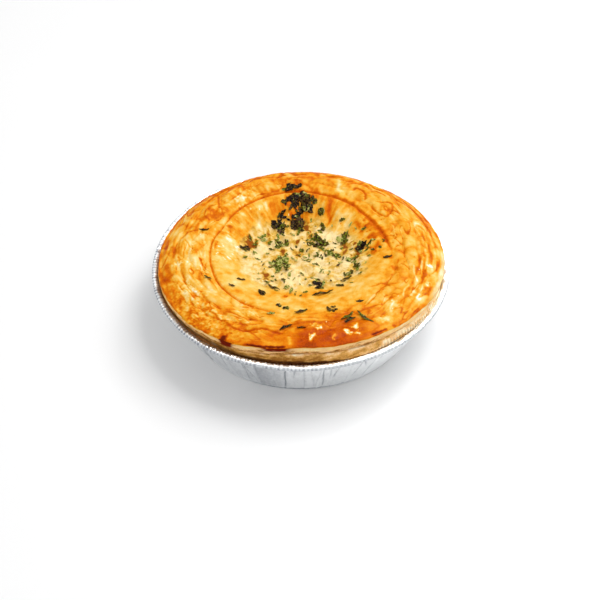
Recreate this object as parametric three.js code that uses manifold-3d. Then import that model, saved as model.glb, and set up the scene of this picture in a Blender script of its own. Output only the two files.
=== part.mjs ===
// A chicken pot pie, baked in the round foil tin that it is served in.
//
// Millimetres, +Z up. The origin lies on the surface that the tin stands on, under its middle. The
// front of the pie, where the lid stands highest over the tin, faces -Y. Angles run from +X.
//
//   foil_tin      pressed foil: flat base, pleated wall that flares out, rolled bead round the top
//   pastry_base   pastry case and the filling baked into it, one solid; its edge shows below the lid
//   pastry_lid    golden lid: puffed shoulder, stamped ring, sunken middle, herb flakes fused on top

import * as THREE from "three";
import { mergeVertices } from "three/addons/utils/BufferGeometryUtils.js";
import Module from "manifold-3d";

const wasm = await Module();
wasm.setup();

// Driving dimensions.

const TIN = {
  rimRadius: 70, // outside of the bead
  height: 28.6, // top of the bead at the sides and the back
  frontLift: 1.9, // how far the soft rim is bent up at the front
  liftSpread: 190, // degrees over which it is bent up
  beadRadius: 1.15,
  baseRadius: 54.3, // outside of the wall, carried down to the floor
  cornerRadius: 2,
  wallTopRadius: 68.2, // outside of the wall, under the bead
  middleHeight: 14, // halfway up the flared wall
  collarHeight: 4, // of the plain collar under the bead
  neckIn: 0.3, // how far the wall draws in right under the bead
  sheet: 0.7,
  pleats: 24,
  pleatDepth: 0.45,
};

const LID = {
  plateauHeight: 38.4,
  shoulderStart: 51, // radius at which the top starts to fall towards the edge
  ringRadius: 42.5,
  ringWidth: 2.2,
  ringDepth: 0.9,
  ringHeight: 37,
  floorRadius: 23,
  floorHeight: 28.6, // middle of the sunken part
  thickness: 5.2,
};

/** The lid's edge, as [degrees, its radius, height of the golden edge, height of the seam below]. */
const EDGE = [
  [0, 67.2, 33.2, 29.6],
  [30, 67, 32, 28.6],
  [60, 66.2, 31, 27.8],
  [90, 66, 30.6, 27.5],
  [120, 65.8, 30.8, 27.7],
  [150, 65.6, 31.8, 28.4],
  [180, 66.2, 33.4, 29.6],
  [200, 67.3, 34.6, 30.4],
  [220, 67.6, 35.4, 31],
  [240, 66.9, 36.4, 31.8],
  [255, 65.7, 37.6, 32.8],
  [270, 64.7, 38.6, 33.6],
  [285, 64.9, 38, 33.2],
  [300, 65.4, 37.4, 32.7],
  [320, 66.3, 36.5, 32],
  [335, 67.2, 35.4, 31.2],
  [350, 67.2, 34, 30.2],
  [360, 67.2, 33.2, 29.6],
];

const BAND = {
  inner: 43.6,
  outer: 63,
  rows: 3,
  cells: [19, 17, 23, 16], // puffed cells in each row round the lid
  height: 1.2,
};

const CASE = {
  rimRadius: 65.5, // where the case leaves the flared wall
  setBack: 0.7, // how far the case's rim stays inside the lid's edge
  wallGap: 0.5, // between the case and the flared wall of the tin
  floorGap: 0.3,
  uprightFrom: 21.5, // height at which the case leaves the flared wall
};

const HERB = {
  shortest: 3.2,
  longest: 5.6,
  thickness: 1.1,
  sink: 0.65, // how deep a flake sits in the lid
  curl: 0.25, // how far its ends stand up
  seed: 20,
};

const SEGMENTS = 90;
const TIN_SEGMENTS = 3 * TIN.pleats;
const SEAM_GAP = 0.3;
const TURN = 2 * Math.PI;

// Small helpers for shapes.

const smooth = (low, high, value) => THREE.MathUtils.smoothstep(value, low, high);
const mix = THREE.MathUtils.lerp;

/** A soft hump, 1 at the centre and 0 at half a width from it. */
function hump(value, centre, width) {
  const t = Math.min(1, Math.abs(value - centre) / (width / 2));
  return Math.cos((t * Math.PI) / 2) ** 2;
}

/** 1 at the given angle, falling to 0 half a spread away on either side. */
function around(angle, centre, spread) {
  const apart = Math.atan2(Math.sin(angle - centre), Math.cos(angle - centre));
  return hump(apart, 0, spread);
}

/** Numbers from 0 to 1 that are the same on every run. */
function numbersFrom(seed) {
  let state = seed;
  return () => {
    state = (state * 1664525 + 1013904223) % 4294967296;
    return state / 4294967296;
  };
}

/**
 * A turned shape whose rows may wander: each row is a function from an angle to [radius, height].
 * Rows run from the underside's middle outwards and up to the top's middle.
 */
function turned(rows, segments) {
  const profile = rows.map((row, index) => new THREE.Vector2(1, index));
  const geometry = new THREE.LatheGeometry(profile, segments);
  const position = geometry.getAttribute("position");
  for (let i = 0; i < position.count; i++) {
    const row = rows[Math.round(position.getY(i))];
    const turnShare = Math.round((Math.atan2(position.getX(i), position.getZ(i)) / TURN) * segments);
    const angle = ((turnShare + segments) % segments) * (TURN / segments);
    const [radius, height] = row(angle);
    position.setXYZ(i, radius * Math.cos(angle), radius * Math.sin(angle), height);
  }
  return geometry;
}

/** The closed solid of a geometry, with shared vertices merged and collapsed triangles dropped. */
function solidOf(geometry) {
  const bare = geometry.clone();
  bare.deleteAttribute("normal");
  bare.deleteAttribute("uv");
  const merged = mergeVertices(bare, 1e-4);
  const triangles = [];
  for (let i = 0; i < merged.index.count; i += 3) {
    const corners = [0, 1, 2].map((k) => merged.index.getX(i + k));
    if (new Set(corners).size === 3) triangles.push(...corners);
  }
  return new wasm.Manifold(
    new wasm.Mesh({
      numProp: 3,
      vertProperties: merged.getAttribute("position").array,
      triVerts: new Uint32Array(triangles),
    }),
  );
}

/** The solid's largest body, so that loose scraps and sealed hollows are left behind. */
function largestBody(solid) {
  const bodies = solid.decompose();
  return bodies.reduce((best, body) => (body.volume() > best.volume() ? body : best));
}

function meshOf(name, solid, material) {
  const { vertProperties, triVerts } = solid.getMesh();
  const geometry = new THREE.BufferGeometry();
  geometry.setAttribute("position", new THREE.BufferAttribute(vertProperties, 3));
  geometry.setIndex(new THREE.BufferAttribute(triVerts, 1));
  geometry.computeVertexNormals();
  const mesh = new THREE.Mesh(geometry, material);
  mesh.name = name;
  return mesh;
}

// The foil tin.

/** How far a pleat stands out at an angle: each one rises slowly and drops in one step. */
function pleat(angle) {
  const share = (((angle / TURN) * TIN.pleats) % 1 + 1) % 1;
  const uneven = 0.7 + 0.3 * Math.sin(7 * angle + 1);
  return TIN.pleatDepth * uneven * (share < 0.5 ? share : (1 - share) * 0.5);
}

const beadHeight = TIN.height - TIN.beadRadius;

/** Outer radius of the flared wall at a height. */
function wallRadius(height) {
  return mix(TIN.baseRadius, TIN.wallTopRadius, height / beadHeight);
}

/** The height that a point of the tin, or of what fills it, has once the front is bent up. */
function lifted(height, angle) {
  const spread = THREE.MathUtils.degToRad(TIN.liftSpread);
  return height + TIN.frontLift * around(angle, 1.5 * Math.PI, spread) * (height / beadHeight) ** 2;
}

function foilTin() {
  const { cornerRadius, beadRadius, sheet, middleHeight } = TIN;
  const beadCentre = TIN.rimRadius - beadRadius;
  const collarHeight = beadHeight - TIN.collarHeight;
  const neckRadius = TIN.wallTopRadius - TIN.neckIn;
  const neckHeight = beadHeight - 1.5 * beadRadius;
  const plain = (radius, height) => (angle) => [radius, lifted(height, angle)];
  const pleated = (height, inwards) => (angle) => [
    wallRadius(height) - inwards + pleat(angle),
    lifted(height, angle),
  ];
  const bead = (degrees) => {
    const turn = THREE.MathUtils.degToRad(degrees);
    return plain(beadCentre + beadRadius * Math.cos(turn), beadHeight + beadRadius * Math.sin(turn));
  };
  const rows = [
    plain(0, 0),
    plain(TIN.baseRadius - cornerRadius / 2, 0),
    plain(TIN.baseRadius + cornerRadius / 8, cornerRadius / 3),
    pleated(cornerRadius, 0),
    pleated(middleHeight, 0),
    pleated(collarHeight, 0),
    plain(neckRadius, neckHeight),
    ...[-60, 0, 60, 120, 180].map(bead),
    plain(neckRadius - sheet, neckHeight),
    pleated(collarHeight, sheet),
    pleated(middleHeight, sheet),
    pleated(cornerRadius, sheet),
    plain(TIN.baseRadius - cornerRadius, sheet),
    plain(0, sheet),
  ];
  return solidOf(turned(rows, TIN_SEGMENTS));
}

// The form of the lid, as heights over the radius and the angle.

/** One column of the edge's table at an angle, eased from one entry to the next. */
function edgeAt(angle, column) {
  const degrees = (THREE.MathUtils.radToDeg(angle) + 360) % 360;
  const next = EDGE.findIndex(([start]) => start > degrees);
  const [from, to] = [EDGE[next - 1], EDGE[next]];
  return mix(from[column], to[column], smooth(from[0], to[0], degrees));
}

const lidEdge = (angle) => edgeAt(angle, 1);
const edgeHeight = (angle) => edgeAt(angle, 2);
const seamHeight = (angle) => edgeAt(angle, 3);

/** The lid's top without its relief: sunken middle, level ring, shoulder that falls to the edge. */
function lidForm(radius, angle) {
  const sides = smooth(LID.floorRadius - 8, LID.ringRadius, radius);
  const steep = smooth(LID.floorRadius, LID.ringRadius, radius);
  const rise = mix(sides, steep, 0.35 + 0.4 * around(angle, Math.PI / 2, Math.PI));
  const bowl = mix(LID.floorHeight, LID.ringHeight, rise);
  const swell = (LID.plateauHeight - LID.ringHeight) * smooth(LID.ringRadius, LID.shoulderStart, radius);
  const fall = Math.max(0, (radius - LID.shoulderStart) / (lidEdge(angle) - LID.shoulderStart));
  return bowl + swell - (LID.plateauHeight - edgeHeight(angle)) * fall ** 2;
}

/** Puffed cells between the ring and the shoulder, with creases where they meet. */
function puffs(radius, angle) {
  const across = ((radius - BAND.inner) / (BAND.outer - BAND.inner)) * BAND.rows;
  const row = across + 0.3 * Math.sin(5 * angle + 1) + 0.15 * Math.sin(11 * angle + 2);
  const index = THREE.MathUtils.clamp(Math.floor(row), 0, BAND.cells.length - 1);
  const slant = (index % 2 ? 1 : -1) * 0.35 * (row - index);
  const along = (BAND.cells[index] * angle) / TURN + 0.2 * index + slant + 0.25 * Math.sin(3 * angle);
  const pillow = Math.sqrt(Math.abs(Math.sin(Math.PI * row) * Math.sin(Math.PI * along)));
  const begins = smooth(BAND.inner - 1, BAND.inner + 2, radius);
  const window = begins * (1 - smooth(BAND.outer - 4, BAND.outer, radius));
  return BAND.height * (pillow - 0.55) * window;
}

/** Folds that run down the back wall of the sunken middle. */
function folds(radius, angle) {
  const wall = hump(radius, 34, 17);
  const back = around(angle, Math.PI / 2, 1.5 * Math.PI);
  return 0.9 * wall * back * Math.sin(22 * angle + 1.5 * Math.sin(5 * angle));
}

/** Soft lumps on the floor of the sunken middle. */
function lumps(x, y) {
  const reach = 1 - smooth(15, 27, Math.hypot(x, y));
  return 0.8 * reach * (Math.sin(x / 2.9 + 1) * Math.sin(y / 2.5 + 2) + 0.5 * Math.sin((x + y) / 1.9));
}

/** The lid's top, with its relief. */
function lidTop(radius, angle) {
  const x = radius * Math.cos(angle);
  const y = radius * Math.sin(angle);
  const ring = -LID.ringDepth * hump(radius, LID.ringRadius, LID.ringWidth);
  return lidForm(radius, angle) + ring + puffs(radius, angle) + folds(radius, angle) + lumps(x, y);
}

/** The surface on which the lid lies: level along the rim of the case, then under the lid's form. */
function seam(radius, angle) {
  const rimShare = smooth(50, 58, radius);
  return mix(lidForm(radius, angle) - LID.thickness, seamHeight(angle), rimShare);
}

const SEAM_RADII = [0, 16, 28, 42.5, 50, 58, 63];

function lidRows() {
  const topRadii = [63.6, 61.6, 59.4, 57.2, 55, 52.8, 50.6, 48.6, 46.8, 45.2, 43.7];
  topRadii.push(LID.ringRadius, 41.3, 39.5, 37, 34, 31, 28, 24.5, 21, 17, 13, 9, 5, 0);
  const side = (outwards, share) => (angle) => [
    lidEdge(angle) + outwards,
    mix(seamHeight(angle) + SEAM_GAP, edgeHeight(angle), share),
  ];
  return [
    ...SEAM_RADII.map((radius) => (angle) => [radius, seam(radius, angle) + SEAM_GAP]),
    side(-0.9, 0),
    side(-0.2, 0.3),
    side(0.1, 0.78),
    (angle) => [lidEdge(angle) - 0.55, edgeHeight(angle) + 0.1],
    ...topRadii.map((radius) => (angle) => [radius, lidTop(radius, angle)]),
  ];
}

// Herb flakes: tufts where they lie thick, and single leaves over the rest.

/** Tufts as [x, y, how far the flakes spread, how many]. */
const TUFTS = [
  [-3, 44, 4, 4],
  [0, 37, 5, 9],
  [8, 32, 4, 3],
  [-8, 28, 4, 5],
  [-10, 16, 5, 4],
  [8, 15, 4, 4],
  [20, 15, 3, 2],
  [-9, -1, 4, 5],
  [13, 6, 5, 3],
  [23, -1, 4, 3],
  [18, -13, 4, 2],
  [-25, 9, 3, 1],
  [-9, -37, 3, 2],
  [24, -46, 3, 2],
];

/** Single leaves as [x, y, degrees that they are turned from +X]. */
const LEAVES = [
  [-18, -25, 45],
  [11, -23, 0],
  [9, -15, 10],
  [-5, -18, 80],
  [-7, -24, 0],
  [-26, -15, 45],
  [0, -42, 20],
  [29, 8, -10],
  [-13, -42, 0],
  [14, -40, -20],
  [-43, -19, 10],
  [-45, 14, 10],
];

/** One flake: a leaf scrap with uneven corners that curls along its length. */
function flakeGeometry(length, width, random) {
  const corners = 5;
  const shape = new THREE.Shape();
  for (let k = 0; k < corners; k++) {
    const turn = (k / corners) * TURN;
    const uneven = 0.85 + 0.3 * random();
    const x = (length / 2) * Math.cos(turn) * uneven;
    const y = (width / 1.8) * Math.sin(turn) * uneven;
    if (k === 0) shape.moveTo(x, y);
    else shape.lineTo(x, y);
  }
  const geometry = new THREE.ExtrudeGeometry(shape, { depth: HERB.thickness, bevelEnabled: false });
  const position = geometry.getAttribute("position");
  for (let i = 0; i < position.count; i++) {
    const curl = HERB.curl * (position.getX(i) / (length / 2)) ** 2;
    position.setZ(i, position.getZ(i) + curl);
  }
  return geometry;
}

/** A flake laid on the lid, along its slope. */
function flakeOnLid(x, y, degrees, random) {
  const length = mix(HERB.shortest, HERB.longest, random());
  const width = length * mix(0.5, 0.8, random());
  const step = 1.5;
  const height = (px, py) => lidTop(Math.hypot(px, py), Math.atan2(py, px));
  const slopeX = (height(x + step, y) - height(x - step, y)) / (2 * step);
  const slopeY = (height(x, y + step) - height(x, y - step)) / (2 * step);
  const upright = new THREE.Vector3(0, 0, 1);
  const normal = new THREE.Vector3(-slopeX, -slopeY, 1).normalize();
  const lean = new THREE.Quaternion().setFromUnitVectors(upright, normal);
  const spin = new THREE.Quaternion().setFromAxisAngle(upright, THREE.MathUtils.degToRad(degrees));
  const geometry = flakeGeometry(length, width, random);
  geometry.applyQuaternion(lean.multiply(spin));
  geometry.translate(x, y, height(x, y) - HERB.sink);
  return solidOf(geometry);
}

function pastryLid() {
  const bare = solidOf(turned(lidRows(), SEGMENTS));
  const random = numbersFrom(HERB.seed);
  const flakes = LEAVES.map(([x, y, degrees]) => flakeOnLid(x, y, degrees, random));
  for (const [x, y, spread, count] of TUFTS) {
    for (let k = 0; k < count; k++) {
      const turn = random() * TURN;
      const reach = spread * Math.sqrt(random());
      const [flakeX, flakeY] = [x + reach * Math.cos(turn), y + reach * Math.sin(turn)];
      flakes.push(flakeOnLid(flakeX, flakeY, 360 * random(), random));
    }
  }
  return largestBody(wasm.Manifold.union([bare, ...flakes]));
}

// The pastry case with its filling.

function pastryBase() {
  const wall = (height) => (angle) => [
    wallRadius(height) - TIN.sheet - CASE.wallGap,
    lifted(height, angle),
  ];
  const floor = TIN.sheet + CASE.floorGap;
  const upright = (share) => (angle) => {
    const rim = Math.min(CASE.rimRadius - 0.2, lidEdge(angle) - CASE.setBack);
    const radius = mix(CASE.rimRadius, rim, share ** 2) + 0.2 * Math.sin(9 * angle);
    return [radius, mix(lifted(CASE.uprightFrom + 4, angle), seamHeight(angle), share)];
  };
  const rows = [
    () => [0, floor],
    () => [TIN.baseRadius - TIN.cornerRadius - 2.5, floor],
    wall(TIN.cornerRadius + 1.5),
    wall(12),
    wall(CASE.uprightFrom),
    upright(0),
    upright(0.6),
    upright(1),
    ...SEAM_RADII.toReversed().map((radius) => (angle) => [radius, seam(radius, angle)]),
  ];
  return solidOf(turned(rows, SEGMENTS / 2));
}

// Materials and the finished pie.

const foil = new THREE.MeshStandardMaterial({ color: 0xd5d8da, roughness: 0.32, metalness: 1 });
const palePastry = new THREE.MeshStandardMaterial({ color: 0xd9b67c, roughness: 0.8, metalness: 0 });
const goldenPastry = new THREE.MeshStandardMaterial({ color: 0xe89a33, roughness: 0.38, metalness: 0 });

const pie = new THREE.Group();
pie.add(
  meshOf("foil_tin", foilTin(), foil),
  meshOf("pastry_base", pastryBase(), palePastry),
  meshOf("pastry_lid", pastryLid(), goldenPastry),
);

export default pie;
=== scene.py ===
"""A chicken pot pie in its foil tin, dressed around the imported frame.

Forms are worked out in millimetres, as arrays over all the vertices of a piece, and written to the
mesh in metres. Angles run from +X, and the front of the pie faces -Y.
"""

import math
import random

import bmesh
import bpy
import numpy as np
from mathutils import Matrix, Vector, noise


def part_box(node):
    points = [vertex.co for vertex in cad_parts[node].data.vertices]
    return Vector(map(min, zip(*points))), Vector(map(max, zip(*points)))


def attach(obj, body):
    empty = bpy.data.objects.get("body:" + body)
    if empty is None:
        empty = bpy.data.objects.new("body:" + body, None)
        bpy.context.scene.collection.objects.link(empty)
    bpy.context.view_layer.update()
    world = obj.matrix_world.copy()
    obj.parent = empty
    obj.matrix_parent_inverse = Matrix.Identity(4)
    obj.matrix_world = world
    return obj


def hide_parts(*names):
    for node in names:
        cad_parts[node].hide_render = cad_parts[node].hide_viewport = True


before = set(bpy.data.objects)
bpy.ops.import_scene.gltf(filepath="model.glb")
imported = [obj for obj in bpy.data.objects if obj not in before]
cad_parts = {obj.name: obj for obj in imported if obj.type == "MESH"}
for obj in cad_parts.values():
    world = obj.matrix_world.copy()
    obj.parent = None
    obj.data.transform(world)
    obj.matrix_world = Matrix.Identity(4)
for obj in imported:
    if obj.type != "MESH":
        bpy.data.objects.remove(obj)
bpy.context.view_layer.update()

bl_info = {
    "name": "Chicken Pot Pie",
    "version": (1, 0, 0),
    "blender": (4, 5, 0),
    "location": "3D View > Sidebar > Pot Pie",
    "description": "Makes a pot pie in its foil tin, piece by piece",
    "category": "Add Mesh",
}

MM = 0.001
TURN = 2 * math.pi
FRONT, BACK = 270, 90

# Forms that the pie shares with its frame, in millimetres and degrees.

TIN_HEIGHT = 28.6
FRONT_LIFT = 1.9
LIFT_SPREAD = 190.0
BEAD_RADIUS = 1.15
BEAD_HEIGHT = TIN_HEIGHT - BEAD_RADIUS
BASE_RADIUS = 54.3
CORNER_RADIUS = 2.0
WALL_TOP_RADIUS = 68.2
COLLAR_FROM = BEAD_HEIGHT - 4.0
PLEATS = 24
PLEAT_DEPTH = 0.45

PLATEAU_HEIGHT = 38.4
SHOULDER_START = 51.0
RING_RADIUS = 42.5
RING_HEIGHT = 37.0
FLOOR_RADIUS = 23.0
FLOOR_HEIGHT = 28.6
LID_THICKNESS = 5.2
SEAM_GAP = 0.3

# The lid's rounded lip: its radius, how far its middle lies inside and under the edge, and where
# the top begins inside it.
LIP_RADIUS = 0.8
LIP_INSET = 0.7
TOP_INSET = 0.9

# The lid's edge: degrees, its radius, height of the golden edge, height of the seam below.
EDGE = [
    (0, 67.2, 33.2, 29.6),
    (30, 67.0, 32.0, 28.6),
    (60, 66.2, 31.0, 27.8),
    (90, 66.0, 30.6, 27.5),
    (120, 65.8, 30.8, 27.7),
    (150, 65.6, 31.8, 28.4),
    (180, 66.2, 33.4, 29.6),
    (200, 67.3, 34.6, 30.4),
    (220, 67.6, 35.4, 31.0),
    (240, 66.9, 36.4, 31.8),
    (255, 65.7, 37.6, 32.8),
    (270, 64.7, 38.6, 33.6),
    (285, 64.9, 38.0, 33.2),
    (300, 65.4, 37.4, 32.7),
    (320, 66.3, 36.5, 32.0),
    (335, 67.2, 35.4, 31.2),
    (350, 67.2, 34.0, 30.2),
    (360, 67.2, 33.2, 29.6),
]

BAND_INNER = 43.6
BAND_OUTER = 63.0
BAND_CELLS = (19, 17, 23, 16)
PUFF_HEIGHT = 1.2

CASE_RIM_RADIUS = 65.5
CASE_SET_BACK = 0.7
CASE_WALL_GAP = 0.5
CASE_UPRIGHT_FROM = 21.5
CASE_FLOOR_GAP = 0.3

# How far under the tin's top the pastry's side is still seen over the bead.
SEEN_BELOW_RIM = 1.9

FLAKE_THICKNESS = 0.14

# Seeds of the creases in the tin's wall and of the scattered herbs.
TIN_SEED = 7
HERB_SEED = 20

# How many straight steps a crease has from one of its points to the next.
CURVE_STEPS = 6

# The shares that the vertices of each piece carry to its finish.
TIN_SHARES = ("stain_and_gap_shade", "painted_shade")
CASE_SHARES = ("dark", "ribbed", "pale")
LID_SHARES = ("baked", "pale", "side", "up", "gloss", "calm")

# How far the lid is baked, from 0, cream, to 1, scorched: degrees, then a level at each radius.
BAKE_RADII = (34.0, 41.0, 48.0, 56.0, 64.0)
BAKE = [
    (0, 0.51, 0.51, 0.45, 0.48, 0.48),
    (45, 0.52, 0.52, 0.44, 0.48, 0.55),
    (90, 0.62, 0.60, 0.54, 0.57, 0.64),
    (120, 0.64, 0.62, 0.49, 0.54, 0.63),
    (150, 0.58, 0.54, 0.46, 0.48, 0.58),
    (180, 0.43, 0.45, 0.37, 0.40, 0.52),
    (210, 0.43, 0.43, 0.36, 0.42, 0.56),
    (235, 0.42, 0.44, 0.40, 0.48, 0.58),
    (255, 0.42, 0.46, 0.50, 0.58, 0.62),
    (264, 0.43, 0.48, 0.54, 0.64, 0.66),
    (270, 0.43, 0.48, 0.56, 0.84, 0.9),
    (285, 0.44, 0.50, 0.60, 0.82, 0.83),
    (296, 0.44, 0.50, 0.60, 0.72, 0.70),
    (315, 0.42, 0.44, 0.42, 0.47, 0.51),
    (335, 0.46, 0.48, 0.46, 0.46, 0.48),
    (360, 0.51, 0.51, 0.45, 0.48, 0.48),
]

# Spots baked more or less than what lies round them, and painted highlights, glints of the glaze:
# degrees, radius, spread, how much.
SPOTS = [
    (164, 38.4, 1, 0.4),
    (164, 35.5, 2, -0.1),
    (178, 33.5, 2.2, -0.16),
    (189, 36, 3, -0.08),
    (151, 38.5, 1, 0.4),
    (253, 26, 1.3, 0.4),
    (239, 66, 1.2, 1.3),
    (309, 65, 0.8, 0.7),
    (146, 48.5, 2, 0.26),
    (146, 46, 1.8, 0.28),
    (154, 49.5, 3, 0.08),
    (8, 37, 3.2, 0.2),
    (2, 34, 1.8, 0.2),
    (31, 36.5, 3, 0.08),
    (128, 46, 2.2, -0.4),
    (123, 50, 2.2, -0.3),
    (136, 48, 3, -0.15),
    (162, 34, 4.5, -0.14),
    (154, 40, 3, -0.2),
    (171, 34, 4, -0.22),
    (48, 31, 5, -0.12),
    (37, 34.6, 2.2, 0.25),
    (29, 33.6, 2, 0.15),
    (20, 36.2, 2.6, 0.25),
    (33, 38.5, 2, 0.15),
    (203, 65, 1.8, 0.14),
    (209, 65, 1.8, 0.1),
    (211, 63, 1.6, 0.14),
    (219, 62, 2, 0.15),
    (227, 65, 2, 0.15),
    (194, 61, 1.6, 0.2),
    (212, 53, 1.4, 0.15),
    (231, 52, 1.6, 0.15),
    (208, 57.5, 2.6, -0.25),
    (213, 55, 1.6, -0.2),
    (214, 50, 2.6, -0.2),
    (187, 52, 3, -0.2),
    (189, 58.5, 1.6, -0.3),
    (235, 47.6, 2.4, -0.22),
    (244, 47, 2.2, -0.22),
    (344, 58.5, 2.2, 0.2),
    (343, 45, 2, 0.2),
    (355, 58.5, 1.4, 0.16),
    (321, 53, 2, 0.12),
    (324, 64, 1.8, 0.12),
    # Painted highlights: glints of the glaze over the right of the band.
    (349, 60.8, 1, -0.7),
    (337, 62.5, 0.9, -0.7),
    (328, 62.8, 0.9, -0.6),
    (330, 59.5, 1.1, -0.4),
    (317, 51.3, 1.4, -0.45),
    (309, 60.1, 1.8, -0.4),
    (318, 57.2, 1.3, -0.35),
    (18, 57.5, 2.2, -0.35),
    # Painted highlights: glints of the glaze on the two pads at the front.
    (275, 57.4, 0.9, -1.1),
    (274, 59.4, 0.8, -0.9),
    (278, 53.6, 0.7, -0.9),
    (276, 51.4, 0.7, -0.6),
    (290, 57.4, 0.9, -1),
    (290, 59.4, 0.7, -1),
    (295, 57, 0.8, -1),
    (294, 60.6, 0.8, -0.9),
]

# Toasted spots on the pale middle, darker with painted shade of its hollows, and paler dabs, painted
# highlights on its lumps: degrees, radius, spread, how much.
DABS = [
    (152, 27.2, 1.5, 0.7),
    (150, 24.6, 1.3, 0.5),
    (128, 25, 1.2, 0.4),
    (83, 25.2, 1.6, 0.45),
    (22, 22.8, 1.9, 0.45),
    (94, 15.1, 0.8, 0.5),
    (136, 11.5, 1, 0.4),
    (100, 6.6, 0.9, 0.45),
    (13, 27.9, 1.6, 0.4),
    (180, 29.8, 0.8, 0.5),
    (210, 20, 1, 0.4),
    (75, 20, 1, 0.3),
    (354, 24, 1.1, 0.25),
    (205, 18, 1, 0.3),
    (60, 23.7, 2.2, -0.35),
    (46, 23.9, 2.2, -0.35),
    (155, 22.3, 2, -0.35),
    (8, 9.2, 2.6, -0.25),
    (2, 20.9, 2.4, -0.25),
    (250, 10, 2.4, -0.25),
]

# A crease at the back right that closes on itself: degrees, radius.
FLAP = [(43, 47.8), (40, 52.2), (35, 54.3), (31, 50.7), (29, 47), (35, 45.9), (41, 46.1)]

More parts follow.
